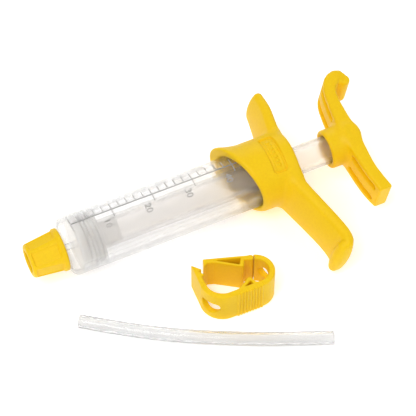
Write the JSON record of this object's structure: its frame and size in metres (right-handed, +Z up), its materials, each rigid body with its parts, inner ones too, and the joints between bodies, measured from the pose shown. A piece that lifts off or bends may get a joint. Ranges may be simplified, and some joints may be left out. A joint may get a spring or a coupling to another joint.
{
  "type": "meat injector",
  "caption": "Refillable dosing and brine syringe with screw-on nozzle cap, finger-winged grip and T-handle plunger, with a squeeze clamp and a clear hose",
  "frame": {"origin": "on the table, under the middle of the box round the syringe and its clamp", "axes": "+X along the barrel from the nozzle to the handle, +Z up, the long finger wing towards -Y"},
  "size_m": [0.1786, 0.1317, 0.0394],
  "materials": {
    "yellow_plastic": "smooth moulded polypropylene, satin",
    "barrel_plastic": "clear moulded plastic with a slight haze",
    "rod_plastic": "clear extruded tube",
    "piston_plastic": "translucent moulded plastic",
    "seal_rubber": "translucent silicone, satin",
    "guide_plastic": "natural moulded plastic",
    "hose_vinyl": "clear soft vinyl"
  },
  "bodies": {
    "barrel": {"barrel": "barrel_plastic", "grip_collar": "yellow_plastic", "rod_guide": "guide_plastic"},
    "cap_washer": {"nozzle_seal": "seal_rubber"},
    "nozzle_cap": {"nozzle_cap": "yellow_plastic"},
    "piston": {"piston": "piston_plastic", "piston_ring_front": "seal_rubber", "piston_ring_rear": "seal_rubber"},
    "plunger": {"rod_swivel": "piston_plastic", "plunger_rod": "rod_plastic", "plunger_handle": "yellow_plastic"},
    "clamp": {"clamp_base": "yellow_plastic"},
    "clamp_lever": {"clamp_lever": "yellow_plastic"},
    "hose": {"hose": "hose_vinyl"}
  },
  "joints": [
    {"name": "plunger_slide", "type": "slide", "parent": "barrel", "child": "piston", "axis": [0.9994, 0, 0.0332], "range_m": [0, 0.096]},
    {"name": "plunger_spin", "type": "hinge", "parent": "piston", "child": "plunger", "pos_m": [-0.05334, 0.01017, 0.01849], "axis": [0.9994, 0, 0.0332], "continuous": true},
    {"name": "cap_turn", "type": "hinge", "parent": "cap_washer", "child": "nozzle_cap", "pos_m": [-0.08027, 0.01017, 0.01759], "axis": [-0.9994, 0, -0.0332], "range_deg": [0, 900]},
    {"name": "cap_advance", "type": "slide", "parent": "barrel", "child": "cap_washer", "axis": [-0.9994, 0, -0.0332], "range_m": [0, 0.0077]},
    {"name": "clamp_lift", "type": "slide", "parent": "barrel", "child": "clamp", "axis": [0, 0, 1], "range_m": [0, 0.06]},
    {"name": "clamp_squeeze", "type": "hinge", "parent": "clamp", "child": "clamp_lever", "pos_m": [0.00712, -0.03073, 0.009], "axis": [0, 0, 1], "range_deg": [0, 13], "stiffness_Nm_per_rad": 0.3},
    {"name": "hose_lift", "type": "slide", "parent": "barrel", "child": "hose", "axis": [0, 0, 1], "range_m": [0, 0.06]}
  ],
  "couplings": [
    {"joint": "cap_advance", "follows": "cap_turn", "m_per_rad": 0.00047746}
  ]
}
